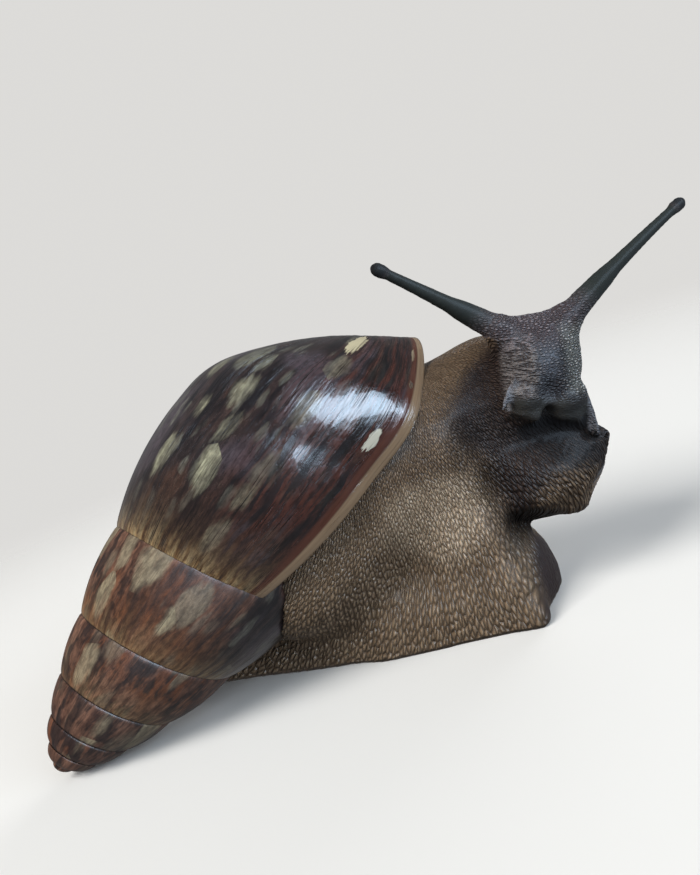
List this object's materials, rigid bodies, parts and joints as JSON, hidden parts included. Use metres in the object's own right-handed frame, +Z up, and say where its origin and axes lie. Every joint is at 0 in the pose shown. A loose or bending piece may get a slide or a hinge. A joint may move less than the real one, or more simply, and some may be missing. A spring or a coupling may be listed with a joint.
{
  "type": "giant african land snail",
  "caption": "Life-size still giant land snail, body out and head raised, with a tall conical spiral shell; rests on its flat foot.",
  "frame": {"origin": "middle of the foot's flat sole, at the floor", "axes": "+X towards the head, +Y to the animal's left, +Z up; the sole lies on Z = 0"},
  "size_m": [0.2141, 0.087, 0.1059],
  "materials": {
    "shell": "glossy shell skin, dark brown with cream and red-brown streaks, worn in places",
    "skin": "moist wrinkled skin with rows of raised pale bumps between dark furrows",
    "eye": "glossy black"
  },
  "bodies": {
    "root": {"shell": "shell", "mantle_collar": "skin", "head": "skin", "neck": "skin", "trunk": "skin", "foot_front": "skin", "foot_middle": "skin", "tail": "skin", "tentacle_right_base": "skin", "tentacle_right_end": "skin", "tentacle_left_base": "skin", "tentacle_left_end": "skin", "feeler_right": "skin", "feeler_left": "skin", "eye_right": "eye", "eye_left": "eye"}
  },
  "joints": []
}
